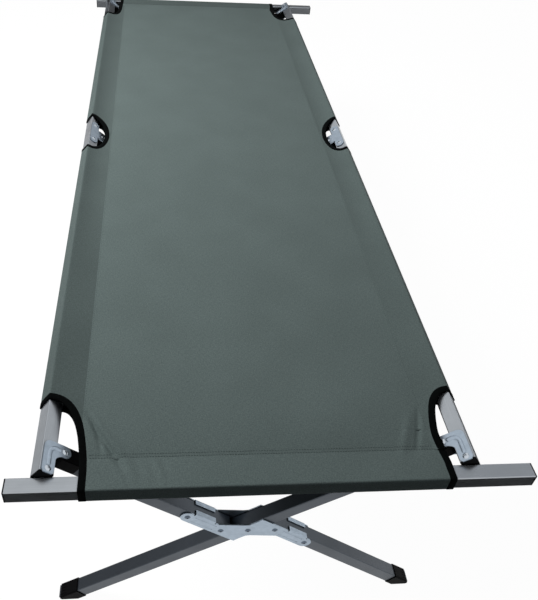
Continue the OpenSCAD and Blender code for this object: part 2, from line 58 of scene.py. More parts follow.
def middle(node):
    low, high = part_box(node)
    return (low + high) / 2


LEFT_RAIL = middle("left_rail_foot_half")
RIGHT_RAIL = middle("right_rail_foot_half")
MID_X = (LEFT_RAIL.x + RIGHT_RAIL.x) / 2
HALF_SPACING = (RIGHT_RAIL.x - LEFT_RAIL.x) / 2
RAIL_Z = LEFT_RAIL.z
RAIL_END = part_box("left_rail_plugs")[1].y
BAR_LOW, BAR_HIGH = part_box("head_bar")
BAR_Y = (BAR_LOW.y + BAR_HIGH.y) / 2
BAR_HALF = (BAR_HIGH.y - BAR_LOW.y) / 2
BAR_Z = (BAR_LOW.z + BAR_HIGH.z) / 2
PIVOT = next(j for j in frame["joints"] if j["name"] == "frame_fold")["pos_m"]
THROUGH_TILT = math.atan((RAIL_Z - PIVOT[2]) / HALF_SPACING)
REACH = math.hypot(HALF_SPACING, RAIL_Z - PIVOT[2])


# ---- what a user would change ----

def measure(title, words, default, low, high):
    """A length that a user can change, given in millimetres."""
    return bpy.props.FloatProperty(
        name=title, description=words, default=default * MM, min=low * MM, max=high * MM, unit="LENGTH")


class CotCanvas(bpy.types.PropertyGroup):
    """Sizes of the sewn canvas."""
    thickness: measure("Thickness", "Thickness of the canvas", 1.2, 0.6, 2)
    play: measure("Play", "Gap between the canvas and the tubes it is stretched over", 0.35, 0.2, 1)
    seam_in: measure("Sleeve seam", "Distance of the sleeve seam from the rail axis", 49, 40, 60)
    sag: measure("Sag", "How far the middle of the deck hangs below its seams", 3, 0, 20)
    hollow: measure(
        "Sleeve hollow", "How far the sleeves hang in at mid length, between ridge and seam", 3.8, 0, 4)
    slope: measure(
        "End slope", "Distance from the rail ends over which the deck runs down to the bars", 100, 60, 150)
    cross_seam: measure("Cross seam", "Distance of the pocket seam from the rail ends", 26.5, 15, 40)
    corner_wide: measure(
        "Corner width", "Width of the corner openings from the rail axis inward", 43.2, 38, 50)
    bar_wide: measure("Pocket gap", "Distance of the pockets' ends from the rail axis", 39.6, 34, 46)
    foot_corner_long: measure(
        "Foot corner length", "Length of the foot end's corner openings along the rail", 125.5, 100, 150)
    head_corner_long: measure(
        "Head corner length", "Length of the head end's corner openings along the rail", 155, 110, 165)
    foot_slip: measure("Foot slip", "How far the foot end's sewn corners sit to the right", 5.7, -12, 12)
    foot_bar_slip: measure("Foot pocket slip", "How far the foot end's pocket sits to the right", 11, -12, 12)
    head_slip: measure("Head slip", "How far the head end's sewn corners sit to the right", -10.8, -12, 12)
    head_bar_slip: measure(
        "Head pocket slip", "How far the head end's pocket sits to the right", -6.5, -12, 12)
    middle_wide: measure("Middle depth", "Depth of the middle openings from the rail axis inward", 34, 20, 35)
    middle_long: measure(
        "Middle half length", "Half length of the middle openings along the rail", 72.5, 60, 90)
    middle_skew: measure(
        "Middle skew", "How far the middle openings' deepest point sits towards the foot end", 16, 0, 30)
    middle_shift_left: measure(
        "Left middle shift", "How far the left middle opening sits towards the head end", 0.5, -15, 15)
    middle_shift_right: measure(
        "Right middle shift", "How far the right middle opening sits towards the head end", 9, -15, 15)
    tape: measure("Tape width", "Width of the binding tape", 10.5, 8, 13)
    leg_offset: measure(
        "Leg offset", "Offset of the half legs, which sets the tilt of the left rail", 27.5, 20, 35)


def linear(hex_text):
    """The linear colour, with alpha 1, of an sRGB hex text such as #5f6b69."""
    parts = [int(hex_text[i:i + 2], 16) / 255 for i in (1, 3, 5)]
    return [p / 12.92 if p <= 0.04045 else ((p + 0.055) / 1.055) ** 2.4 for p in parts] + [1]


def colour(title, words, hex_text):
    """A colour that a user can change."""
    return bpy.props.FloatVectorProperty(
        name=title, description=words, default=linear(hex_text), size=4, subtype="COLOR", min=0, max=1)


class CotColours(bpy.types.PropertyGroup):
    """Colours of the finishes."""
    canvas: colour("Canvas", "Grey-green coated canvas", "#677472")
    # painted shade: the thread is drawn darker for the dimples where the stitches sink in
    shaded_thread: colour("Sewing thread", "Thread of the seams", "#3d4745")
    tape: colour("Binding tape", "Black woven tape", "#0a0c0c")
    aluminium: colour("Aluminium", "Clear-anodised extrusion", "#a3a8ad")
    # painted shade: the legs' aluminium is drawn darker for the shade under the deck
    shaded_leg_aluminium: colour("Leg aluminium", "Anodised extrusion of the legs", "#50555b")
    zinc: colour("Zinc plate", "Bluish zinc plate on pressed steel", "#a5b2bf")
    rivet: colour("Rivet", "Bright zinc plate on rivets and pins", "#c0c8d0")
    scissor_rivet: colour("Scissor rivet", "Blued steel of the rivets through the legs", "#5f6a77")
    nylon: colour("Nylon", "Black moulded nylon", "#0b0b0c")


class CotStudio(bpy.types.PropertyGroup):
    """Light and camera."""
    key: bpy.props.FloatProperty(
        name="Key light", description="Power of the large lamp to the left of the deck, in watts",
        default=46.5, min=0, max=400)
    sky: bpy.props.FloatProperty(
        name="Surround light", description="Strength of the even light from all sides",
        default=0.09, min=0, max=1)
    shadow: bpy.props.FloatProperty(
        name="Floor shadow", description="How much of the floor's shading shows in its white",
        default=0.12, min=0, max=1, subtype="FACTOR")


# ---- materials ----

def add_node(tree, kind, inputs=None, **settings):
    """Adds a node, sets its fields, and sets or links its input sockets."""
    node = tree.nodes.new(kind)
    for name, value in settings.items():
        setattr(node, name, value)
    for name, value in (inputs or {}).items():
        if isinstance(value, bpy.types.NodeSocket):
            tree.links.new(value, node.inputs[name])
        else:
            node.inputs[name].default_value = value
    return node


def cleared(owner):
    """The node tree of a new material or world, emptied."""
    owner.use_nodes = True
    owner.node_tree.nodes.clear()
    return owner.node_tree


def new_material(name):
    """A material and its empty node tree."""
    material = bpy.data.materials.new(name)
    return material, cleared(material)


def surfaced(material, inputs):
    """The material, ended with one Principled shader."""
    tree = material.node_tree
    shader = add_node(tree, "ShaderNodeBsdfPrincipled", inputs)
    add_node(tree, "ShaderNodeOutputMaterial", {"Surface": shader.outputs["BSDF"]})
    return material


def scaled(tree, coordinates, across_mm, along_mm):
    """Coordinates for a pattern of fibres: fine across, long along Y."""
    scale = (1 / (across_mm * MM), 1 / (along_mm * MM), 1 / (across_mm * MM))
    return add_node(tree, "ShaderNodeMapping", {"Vector": coordinates, "Scale": scale}).outputs[0]


def toned(rgba, factor):
    """The colour, darker or lighter by a factor."""
    return [min(1, c * factor) for c in rgba[:3]] + [1]


def uneven(tree, share, rgba, dark, light):
    """The finish's colour, from its dark tone to its light one as the share rises."""
    return add_node(tree, "ShaderNodeMix", {
        "Factor": share, "A": toned(rgba, dark), "B": toned(rgba, light)}, data_type="RGBA").outputs["Result"]


def painted_corner_shade(tree, tone, reach_mm, depth):
    """The tone, darker in corners and beside raised edges: painted shade, where less of the surround's light
    reaches.
    """
    near = add_node(tree, "ShaderNodeAmbientOcclusion", {"Distance": reach_mm * MM},
                    samples=8, only_local=False)
    share = add_node(tree, "ShaderNodeMapRange", {
        "Value": near.outputs["AO"], "From Min": 0.3, "From Max": 0.95, "To Min": 1 - depth})
    return add_node(tree, "ShaderNodeVectorMath", {0: tone, 1: share.outputs[0]},
                    operation="MULTIPLY").outputs[0]


def metal(name, rgba, roughness, run, grain_mm=(0.9, 90), wear=0.08, relief_mm=0.02, cloud_mm=45,
          corners=(3, 0.5)):
    """A metal with drawn lines along the run of the tube: x, y, up_right or up_left. grain_mm is their width and
    length, cloud_mm the size of cloudy patches, corners the reach in mm and the depth of the painted shade in
    corners."""
    material, tree = new_material(name)
    place = add_node(tree, "ShaderNodeTexCoord").outputs["Object"]
    turns = {"x": (0, 0, math.pi / 2), "y": (0, 0, 0), "up_right": (0, math.pi / 5, math.pi / 2),
             "up_left": (0, -math.pi / 5, math.pi / 2)}
    turned = add_node(tree, "ShaderNodeMapping", {"Vector": place, "Rotation": turns[run]},
                      vector_type="TEXTURE").outputs[0]
    drawn = add_node(tree, "ShaderNodeTexNoise", {
        "Vector": scaled(tree, turned, *grain_mm), "Scale": 1, "Detail": 3, "Roughness": 0.6})
    cloudy = add_node(tree, "ShaderNodeTexNoise", {
        "Vector": place, "Scale": 1 / (cloud_mm * MM), "Detail": 3})
    lines = add_node(tree, "ShaderNodeMath", {0: drawn.outputs["Fac"], 1: cloudy.outputs["Fac"]},
                     operation="ADD").outputs[0]
    spread = add_node(tree, "ShaderNodeMapRange", {
        "Value": lines, "From Min": 0.7, "From Max": 1.3})
    tone = uneven(tree, spread.outputs[0], rgba, 1 - wear, 1 + wear)
    rough = add_node(tree, "ShaderNodeMapRange", {
        "Value": lines, "From Min": 0.6, "From Max": 1.4,
        "To Min": roughness + 0.05, "To Max": roughness - 0.05})
    relief = add_node(tree, "ShaderNodeBump", {
        "Strength": 0.25, "Distance": relief_mm * MM, "Height": drawn.outputs["Fac"]})
    # the base colour carries painted shade in corners and beside raised edges
    return surfaced(material, {
        "Base Color": painted_corner_shade(tree, tone, *corners), "Metallic": 1, "Roughness": rough.outputs[0],
        "Normal": relief.outputs[0]})


def moulded_nylon(rgba):
    """Moulded nylon: near black, with a fine spark-eroded grain that softens its highlights."""
    material, tree = new_material("moulded_nylon")
    place = add_node(tree, "ShaderNodeTexCoord").outputs["Object"]
    grain = add_node(tree, "ShaderNodeTexNoise", {
        "Vector": place, "Scale": 900, "Detail": 3, "Roughness": 0.6})
    scuffs = add_node(tree, "ShaderNodeTexNoise", {
        "Vector": place, "Scale": 60, "Detail": 5, "Roughness": 0.7})
    rough = add_node(tree, "ShaderNodeMapRange", {
        "Value": scuffs.outputs["Fac"], "To Min": 0.42, "To Max": 0.66})
    relief = add_node(tree, "ShaderNodeBump", {
        "Strength": 0.3, "Distance": 0.06 * MM, "Height": grain.outputs["Fac"]})
    return surfaced(material, {
        "Base Color": uneven(tree, scuffs.outputs["Fac"], rgba, 0.7, 1.4), "Roughness": rough.outputs[0],
        "Specular IOR Level": 0.04, "Normal": relief.outputs[0]})


def woven(name, rgba, thread_mm, slub_mm, contrast, roughness, relief_mm, specular=0.25, fleck=0.0):
    """A plain weave drawn from the flat cut, with slubs, flecks and slow blotches. The threads lie thread_mm
    apart, and the slubs are slub_mm long."""
    material, tree = new_material(name)
    cut = add_node(tree, "ShaderNodeUVMap", uv_map="cut").outputs[0]
    turned = add_node(tree, "ShaderNodeMapping", {"Vector": cut, "Rotation": (0, 0, math.pi / 2)}).outputs[0]
    warp, weft = (add_node(tree, "ShaderNodeTexNoise", {
        "Vector": scaled(tree, way, thread_mm, slub_mm), "Scale": 1, "Detail": 2, "Roughness": 0.6})
        for way in (cut, turned))
    threads = add_node(tree, "ShaderNodeMath", {0: warp.outputs["Fac"], 1: weft.outputs["Fac"]},
                       operation="ADD")
    weave = add_node(tree, "ShaderNodeMapRange", {
        "Value": threads.outputs[0], "From Min": 0.72, "From Max": 1.28})
    blotches = add_node(tree, "ShaderNodeTexNoise", {"Vector": cut, "Scale": 9, "Detail": 3})
    flecks = add_node(tree, "ShaderNodeTexNoise", {
        "Vector": cut, "Scale": 1 / (1.7 * thread_mm * MM), "Detail": 1})
    tone = uneven(tree, weave.outputs[0], rgba, 1 - contrast, 1 + contrast)
    cloudy = add_node(tree, "ShaderNodeMapRange", {
        "Value": blotches.outputs["Fac"], "From Min": 0.35, "From Max": 0.65, "To Min": 0.96, "To Max": 1.04})
    speckled = add_node(tree, "ShaderNodeMapRange", {
        "Value": flecks.outputs["Fac"], "From Min": 0.3, "From Max": 0.7,
        "To Min": 1 - fleck, "To Max": 1 + fleck})
    for factor in (cloudy, speckled):
        tone = add_node(tree, "ShaderNodeVectorMath", {0: tone, 1: factor.outputs[0]},
                        operation="MULTIPLY").outputs[0]
    relief = add_node(tree, "ShaderNodeBump", {
        "Strength": 0.5, "Distance": relief_mm * MM, "Height": weave.outputs[0]})
    return surfaced(material, {
        "Base Color": tone, "Roughness": roughness, "Specular IOR Level": specular,
        "Normal": relief.outputs[0]})


# How light each piece's canvas is. The sleeves and the head pocket are painted darker, as painted shade on their
# cloth.
CANVAS_SHADE_TONES = {"canvas": 1, "canvas_left_sleeve": 0.74, "canvas_right_sleeve": 0.9,
                "canvas_head_pocket": 0.72, "canvas_foot_pocket": 1}


def make_materials(colours):
    """Every finish of the cot, by the place it is used in."""
    return {
        # anodised extrusion: soft, slightly streaked reflections along each tube
        "aluminium_x": metal("anodised_bar_aluminium", colours.aluminium, 0.30, "x"),
        "aluminium_y": metal("anodised_rail_aluminium", colours.aluminium, 0.30, "y"),
        # the legs are painted darker than the rails, as painted shade from the deck above, and a little more matt
        "aluminium_up_right": metal("anodised_leg_aluminium_right", colours.shaded_leg_aluminium, 0.36, "up_right"),
        "aluminium_up_left": metal("anodised_leg_aluminium_left", colours.shaded_leg_aluminium, 0.36, "up_left"),
        # zinc plate: bluish and satin, slightly cloudy from the bath, with painted shade beside its pressed lines
        "zinc": metal("zinc_plated_steel", colours.zinc, 0.42, "x", grain_mm=(6, 9), wear=0.07,
                      relief_mm=0.004, cloud_mm=15, corners=(4, 0.85)),
        # bright zinc: the small turned heads catch sharp highlights inside a ring of painted shade
        "bright": metal("bright_zinc_plate", colours.rivet, 0.24, "x", grain_mm=(2, 4), wear=0.06,
                        relief_mm=0.005, cloud_mm=8, corners=(4, 0.95)),
        # blued steel: the scissor rivets are left dark, with a dull shine
        "blued": metal("blued_steel", colours.scissor_rivet, 0.34, "x", grain_mm=(2, 4), wear=0.06,
                       relief_mm=0.005, cloud_mm=8, corners=(3, 0.6)),
        "nylon": moulded_nylon(colours.nylon),
        # coated polyester canvas: matt; threads 1.1 mm apart, drawn coarser than the real 0.5 mm to show
        **{name: woven(f"coated_{name}", toned(colours.canvas, tone), thread_mm=1.1, slub_mm=7, contrast=0.13,
                       roughness=0.6, relief_mm=0.25, specular=0.13, fleck=0.16)
           for name, tone in CANVAS_SHADE_TONES.items()},
        # grosgrain tape: ribs across its width, too dull to catch a highlight
        "tape": woven("grosgrain_tape", colours.tape, thread_mm=0.9, slub_mm=5, contrast=0.35,
                      roughness=0.9, relief_mm=0.2, specular=0.03),
        # polyester thread: a little darker than the cloth, as painted shade where it sinks into it
        "thread": woven("polyester_thread", colours.shaded_thread, thread_mm=0.4, slub_mm=1.2, contrast=0.2,
                        roughness=0.6, relief_mm=0.1),
    }


MATERIALS = {}


# ---- mesh helpers ----

SAME_SPOT = 0.005 * MM       # vertices nearer than this are one
SHARP = math.radians(50)     # an edge turning more than this looks sharp


def new_object(name, data):
    """An object of the scene that holds the data."""
    item = bpy.data.objects.new(name, data)
    bpy.context.scene.collection.objects.link(item)
    return item


def rework(mesh, change):
    """Makes one bmesh change to a mesh."""
    work = bmesh.new()
    work.from_mesh(mesh)
    change(work)
    work.to_mesh(mesh)
    work.free()


def new_piece(name, vertices, faces, material, cut=None, thickness=0.0):
    """A mesh object, solid where a thickness is given. cut holds each vertex's place in the flat cloth."""
    mesh = bpy.data.meshes.new(name)
    mesh.from_pydata([tuple(v) for v in vertices], [], [tuple(f) for f in faces])
    if cut is not None:
        layer = mesh.uv_layers.new(name="cut")
        for loop in mesh.loops:
            layer.data[loop.index].uv = cut[loop.vertex_index]
    mesh.materials.append(material)
    piece = new_object(name, mesh)
    if thickness:
        # vertices on one spot are joined first, so that no wall is left between them
        rework(mesh, lambda work: bmesh.ops.remove_doubles(work, verts=work.verts, dist=SAME_SPOT))
        solid = piece.modifiers.new("thickness", "SOLIDIFY")
        solid.thickness = thickness
        solid.offset = 0
        graph = bpy.context.evaluated_depsgraph_get()
        piece.data = bpy.data.meshes.new_from_object(piece.evaluated_get(graph))
        piece.modifiers.clear()
        piece.data.name = name
    rework(piece.data, lambda work: bmesh.ops.recalc_face_normals(work, faces=work.faces))
    piece.data.shade_smooth()
    piece.data.set_sharp_from_angle(angle=SHARP)
    return piece


def grid_faces(rows, columns, closed=False):
    """Faces between the points of a grid, row by row. A closed grid joins its last column to its first."""
    faces = []
    for r in range(rows - 1):
        for c in range(columns if closed else columns - 1):
            d = (c + 1) % columns
            faces.append((r * columns + c, r * columns + d, (r + 1) * columns + d, (r + 1) * columns + c))
    return faces


def moved(faces, base):
    """The faces, with their point numbers moved on by a base."""
    return [tuple(base + i for i in face) for face in faces]


def arc(centre, radius, start, stop, count):
    """Points on an arc, angles in degrees."""
    return [(centre[0] + radius * math.cos(math.radians(a)), centre[1] + radius * math.sin(math.radians(a)))
            for a in np.linspace(start, stop, count)]


def filled(points, step):
    """A polyline with points added wherever two of its points lie further apart than a step."""
    line = [points[0]]
    for a, b in zip(points, points[1:]):
        count = max(1, math.ceil(math.dist(a, b) / step))
        line += [tuple(np.array(a) + (np.array(b) - np.array(a)) * i / count) for i in range(1, count + 1)]
    return np.array(line)


def dress(piece, slot, *nodes):
    """The piece, with its placement baked into its mesh, stands for its CAD nodes, which are hidden when given."""
    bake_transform(piece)
    if nodes:
        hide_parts(*nodes)
    return piece


# ---- shape of the canvas ----

ENDS = {"foot": -1, "head": 1}
SIDES = {"left": -1, "right": 1}
TUBE_HALF = 12 * MM      # half the width of the square tube
TUBE_CORNER = 1.6 * MM   # and its corner radius
TUCK = 5 * MM            # how far the canvas reaches into its tape
STRIP = 60 * MM          # the deck's end strips, which reach out to the corner openings
PLY_GAP = 0.2 * MM       # between two plies at a seam
UNDERLAP = 8 * MM        # how far a lower ply runs on past its seam
FOLD_REACH = 150 * MM    # the folds lie nearer to the rail ends than this
FOLD_START = 20 * MM     # and further inward from a rail's axis than this
FINE_ROWS = 165 * MM     # nearer to the rail ends than this, the deck's rows lie closer together
HOLLOW_FADE = 700 * MM   # from mid length to where the sleeves' hollow no longer changes
RIPPLE = 0.35 * MM       # the deck's slight unevenness
OUTER_DROP = 3.7 * MM    # how much shorter an opening is at a rail's outer corner than over its ridge
ROUNDNESS = {"foot": 2.3, "head": 4.3}      # of the corner openings: 2 is an ellipse, more is squarer
END_HOLLOW = {"foot": 0.15, "head": 0.6}    # share of the sleeves' hollow that is left there


def end_of(y):
    """The end that a place along the cot belongs to."""
    return "foot" if y < 0 else "head"


def smooth(t):
    """Eases from 0 to 1."""
    t = min(1, max(0, t))
    return t * t * (3 - 2 * t)


def lengths(points):
    """Distance along a polyline up to each of its points."""
    return np.concatenate([[0], np.cumsum(np.linalg.norm(np.diff(np.array(points, float), axis=0), axis=1))])


def crease(x, q, points, width, depth):
    """A shallow fold along a line, deepest in its middle and gone at both ends."""
    points = np.array(points, float)
    run = lengths(points)
    best, along = math.inf, 0.0
    for i in range(len(points) - 1):
        (ax, aq), (bx, bq) = points[i], points[i + 1]
        length = run[i + 1] - run[i]
        t = min(1, max(0, ((x - ax) * (bx - ax) + (q - aq) * (bq - aq)) / length ** 2))
        distance = math.hypot(x - ax - t * (bx - ax), q - aq - t * (bq - aq))
        if distance < best:
            best, along = distance, (run[i] + t * length) / run[-1]
    return depth * math.sin(math.pi * min(1, max(0, along))) ** 0.8 * math.exp(-(best / width) ** 2)


# The folds at the foot corners: points (x, q), half width and height in mm. x is from the frame's middle, q
# inward from the rail ends.
FOLDS = (
    (((-250, 98), (-239, 68), (-233, 48), (-230, 26)), 3.2, -2.2),
    (((-258, 108), (-242, 80), (-228, 56), (-211, 31), (-202, 11), (-193, -12)), 4, -4.4),
    (((-249, 104), (-232, 76), (-218, 54), (-201, 30), (-191, 10), (-182, -18)), 4, 3),
    (((-236, 76), (-218, 52), (-200, 26), (-184, -10)), 5, -1.8),
    (((-228, 76), (-210, 50), (-192, 24), (-176, -12)), 4, 1.3),
    (((-176, 26), (-166, 6), (-160, -18)), 4, 1.2),
    (((-156, 26), (-146, 4), (-139, -20)), 3.6, 1.8),
    (((-150, 26), (-140, 6), (-132, -12)), 4, -1.2),
    (((-211, 16), (-203, -2), (-196, -18)), 3.2, 1.5),
    (((258, 104), (246, 58), (232, 14)), 4.2, -2),
    (((242, 96), (222, 44), (206, 4)), 6, 1.4),
)


class Sleeve:
    """A sleeve's cross-section: a line from under the deck, out round the rail, over its ridge and in to the
    seam. run is measured along it from the ridge, x inward from the rail's axis, z over the floor."""

    def __init__(self, canvas, side, seam_z):
        tilt = math.degrees(THROUGH_TILT + (math.asin(canvas.leg_offset / REACH) if side == "left" else 0))
        reach = (TUBE_HALF - TUBE_CORNER) * math.sqrt(2)
        radius = TUBE_CORNER + canvas.play + canvas.thickness / 2
        ridge, outer, bottom = arc((0, RAIL_Z), reach, 135 - tilt, 315 - tilt, 3)
        low_z = seam_z - canvas.thickness - PLY_GAP
        low_slope = math.degrees(math.atan2(low_z - bottom[1] + radius, canvas.seam_in - bottom[0]))
        top = arc(outer, radius, 180, 180 - tilt, 6) + arc(ridge, radius, 180 - tilt, 79, 9)
        top += [(canvas.seam_in, seam_z)]
        low = arc(outer, radius, 180, 270 - tilt, 6) + arc(bottom, radius, 270 - tilt, 270 + low_slope, 7)
        low += [(canvas.seam_in, low_z), (canvas.seam_in + UNDERLAP, low_z)]
        line = filled(low[:0:-1] + top, 3 * MM)
        run = lengths(line)
        self.line, self.run = line, run - run[int(np.argmax(line[:, 1]))]
        self.outer = int(np.argmin(line[:, 0]))

    def at(self, run):
        """The point (x, z) at a run."""
        return tuple(float(np.interp(run, self.run, self.line[:, i])) for i in (0, 1))

    def part(self, upper):
        """The runs and the points of the upper or the lower ply, from the outer edge inward."""
        i = self.outer
        return (self.run[i:], self.line[i:]) if upper else (self.run[i::-1], self.line[i::-1])

    def run_at(self, x, upper=True):
        """The run at a distance x inward, on the upper or the lower ply."""
        run, line = self.part(upper)
        past = max(0, x - line[-1, 0])
        return float(np.interp(x, line[:, 0], run)) + (past if upper else -past)


class Cloth:
    """Where the sewn canvas lies. x is inward from a rail's axis, q inward from the rail ends."""

    def __init__(self, canvas):
        self.canvas = canvas
        self.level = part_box("deck_panel")[1].z - canvas.thickness / 2
        self.pocket_level = BAR_Z + BAR_HALF + canvas.play + canvas.thickness / 2
        self.sleeves = {side: Sleeve(canvas, side, self.level) for side in SIDES}
        ends = {"foot": (canvas.foot_slip, canvas.foot_bar_slip, canvas.foot_corner_long),
                "head": (canvas.head_slip, canvas.head_bar_slip, canvas.head_corner_long)}
        self.corners = {
            (side, end): (canvas.corner_wide - sign * slip, canvas.bar_wide - sign * bar_slip, long,
                          ROUNDNESS[end])
            for side, sign in SIDES.items() for end, (slip, bar_slip, long) in ends.items()}

    def plan(self, side, x):
        """The frame's X at a distance x inward from a rail's axis."""
        return MID_X + SIDES[side] * (HALF_SPACING - x)

    def settle(self, x, q):
        """How far the canvas comes down towards the bar, with all of it at the seam and none at the ridge."""
        near = min(1, max(0, 1 - (q - self.canvas.cross_seam) / (self.canvas.slope - self.canvas.cross_seam)))
        return (self.level - self.pocket_level) * near ** 1.7 * smooth(x / self.canvas.seam_in)

    def folds(self, x, q):
        """Rise or fall of the folds at the foot end. Over the bar they only rise."""
        if q > FOLD_REACH:
            return 0
        total = sum(crease((x - MID_X) / MM, q / MM, *fold) for fold in FOLDS) * MM
        return max(total, -0.2 * MM - max(0, q - 1 * MM) / 4)

    def height(self, x, y):
        """Height of the upper ply at a plan point of the frame."""
        canvas = self.canvas
        inward = HALF_SPACING - abs(x - MID_X)
        q = RAIL_END - abs(y)
        folds = self.folds(x, q) if y < 0 and inward > FOLD_START else 0
        if inward < canvas.seam_in:
            section = self.sleeves["left" if x < MID_X else "right"]
            z = section.at(section.run_at(inward))[1]
            share = max(0, inward / canvas.seam_in)
            kept = 1 - (1 - END_HOLLOW[end_of(y)]) * smooth(abs(y) / HOLLOW_FADE)
            hollow = canvas.hollow * kept * 4 * share * (1 - share)
            return z - hollow - self.settle(inward, q) + folds * smooth((inward - FOLD_START) / (20 * MM))
        across = 1 - ((HALF_SPACING - inward) / (HALF_SPACING - canvas.seam_in)) ** 2
        slack = canvas.sag * across * smooth((q - canvas.cross_seam) / (180 * MM))
        ripple = RIPPLE * noise.noise(Vector((x * 9, y * 2.5, 0)))
        ripple *= smooth((q - canvas.cross_seam) / (80 * MM))
        return self.level - self.settle(inward, q) - slack + ripple * min(1, across * 8) + folds

    def place(self, side, run, y):
        """The point of a sleeve, or of the deck beside it, at a run from the ridge."""
        section = self.sleeves[side]
        x, z = section.at(run)
        if run > section.run[-1]:
            x = section.line[-1, 0] + run - section.run[-1]
        across = self.plan(side, x)
        z = self.height(across, y) if run > 0 else z - self.settle(x, RAIL_END - abs(y))
        return Vector((across, y, z))

    def corner_x(self, side, end, q, grow=0.0):
        """Distance of a corner opening's inner edge from the rail's axis, at q from the rail ends."""
        wide, bar_wide, long, power = self.corners[side, end]
        share = min(1, max(0, q) / (long + grow))
        widening = (bar_wide - wide) * smooth(1 - q / STRIP)
        return (wide + grow) * (1 - share ** power) ** (1 / power) + widening

    def drop(self, x):
        """How much shorter the openings are at a distance x outward of a rail's axis."""
        return OUTER_DROP * (x / (TUBE_HALF * math.sqrt(2))) ** 2

    def corner_q(self, side, end, x, grow=0.0):
        """How far a corner opening reaches along the rail, at a distance x inward from its axis."""
        wide, _, long, power = self.corners[side, end]
        if x <= 0:
            return long + grow - self.drop(x)
        return (long + grow) * (1 - min(1, x / (wide + grow)) ** power) ** (1 / power)

    def middle_y(self, side, x, way, grow=0.0):
        """The near (-1) or far (1) edge of a middle opening, at a distance x inward from the rail's axis."""
        canvas = self.canvas
        centre = canvas.middle_shift_left if side == "left" else canvas.middle_shift_right
        half = canvas.middle_long + grow
        if x <= 0:
            return centre + way * (half - self.drop(x))
        share = min(1, x / (canvas.middle_wide + grow))
        return centre + way * half * math.sqrt(1 - share * share) - canvas.middle_skew * share


def make_deck(cloth):
    """The panel between the sleeve seams and the cross seams, with the strips to the corner openings."""
    canvas = cloth.canvas
    grow = canvas.tape - TUCK
    near = [canvas.cross_seam + (FINE_ROWS - canvas.cross_seam) * t for t in np.linspace(0, 1, 76)]
    # two rows stand close on both sides of the strip's end, where the deck's edge steps in to the seam
    near = [q for q in near if abs(q - STRIP) > 0.5 * MM] + [STRIP - 0.01 * MM, STRIP + 0.01 * MM]
    rows = [RAIL_END - q for q in sorted(near)] + list(np.linspace(RAIL_END - FINE_ROWS, 0, 62)[1:])
    rows = [-y for y in rows] + rows[-2::-1]
    columns = 150
    spread = np.linspace(-1, 1, columns)
    spread = spread * 0.4 + np.sin(spread * math.pi / 2) * 0.6
    vertices, cut = [], []
    for y in rows:
        q = RAIL_END - abs(y)
        edges = []
        for side in SIDES:
            inner = cloth.corner_x(side, end_of(y), q, grow)
            inner = inner if q < STRIP else max(inner, canvas.seam_in)
            edges.append(cloth.plan(side, inner))
        for t in (spread + 1) / 2:
            x = edges[0] + (edges[1] - edges[0]) * t
            vertices.append((x, y, cloth.height(x, y)))
            cut.append((x - MID_X, y))
    return new_piece("canvas_deck", vertices, grid_faces(len(rows), columns),
                     MATERIALS["canvas"], cut, canvas.thickness)


def make_sleeve(cloth, side):
    """One sleeve: canvas from under the deck, round the rail, over its ridge and in to the seam."""
    canvas = cloth.canvas
    section = cloth.sleeves[side]
    grow = canvas.tape - TUCK
    ridge = HALF_SPACING + 60 * MM     # where the sleeve's ridge lies in the flat cloth
    vertices, cut, faces = [], [], []
    rows = 60
    for end, sign in ENDS.items():
        base = len(vertices)
        for share in np.linspace(0, 1, rows):
            for x, run in zip(section.line[:, 0], section.run):
                stop = RAIL_END - max(STRIP, cloth.corner_q(side, end, x, grow))
                start = cloth.middle_y(side, x, sign, grow)
                y = start + (sign * stop - start) * share
                vertices.append(cloth.place(side, run, y))
                cut.append((SIDES[side] * (ridge - run), y))
        faces += moved(grid_faces(rows, len(section.run)), base)
    return new_piece(f"{side}_sleeve_canvas", vertices, faces, MATERIALS[f"canvas_{side}_sleeve"], cut,
                     canvas.thickness)


def pocket_path(cloth):
    """The pocket's loop about a bar, from the cross seam over the bar and back, in points (y, z)."""
    canvas = cloth.canvas
    reach = BAR_HALF - TUBE_CORNER
    radius = TUBE_CORNER + canvas.play + canvas.thickness / 2
    level = cloth.pocket_level
    seam = RAIL_END - canvas.cross_seam
    inner = (BAR_Y - reach, BAR_Z - reach)
    slant = math.degrees(math.atan2(level - canvas.thickness - inner[1] + radius, inner[0] - seam))
    path = [(seam, level)]
    path += arc((BAR_Y + reach, BAR_Z + reach), radius, 90, 0, 7)
    path += arc((BAR_Y + reach, BAR_Z - reach), radius, 0, -90, 7)
    path += arc(inner, radius, -90, -90 - slant, 5)
    low = level - canvas.thickness
    path += [(seam, low - PLY_GAP), (seam - UNDERLAP, low + 0.8 * MM)]
    return filled(path, 1.8 * MM)


def make_pocket(cloth, end):
    """One end pocket: canvas from the cross seam over the bar and back, with the folds over the bar."""
    canvas = cloth.canvas
    sign = ENDS[end]
    path = pocket_path(cloth)
    grow = canvas.tape - TUCK
    columns = 120
    vertices, cut = [], []
    for (y, z), s in zip(path, lengths(path)):
        edges = [cloth.plan(side, cloth.corner_x(side, end, RAIL_END - y, grow)) for side in SIDES]
        for x in np.linspace(*edges, columns):
            puff = 0.2 * MM * noise.noise(Vector((x * 30, s * 60, 3 * sign)))
            if end == "foot" and z > cloth.pocket_level - 0.5 * MM:
                puff += cloth.folds(x, RAIL_END - y)
            vertices.append((x, sign * y, z + puff))
            cut.append((x - MID_X, sign * (RAIL_END - canvas.cross_seam + s)))
    return new_piece(f"{end}_pocket_canvas", vertices, grid_faces(len(path), columns),
                     MATERIALS[f"canvas_{end}_pocket"], cut, canvas.thickness)


# ---- binding tape ----

TAPE_OVER, TAPE_UNDER, TAPE_NOSE = 1.15 * MM, 0.9 * MM, 0.5 * MM
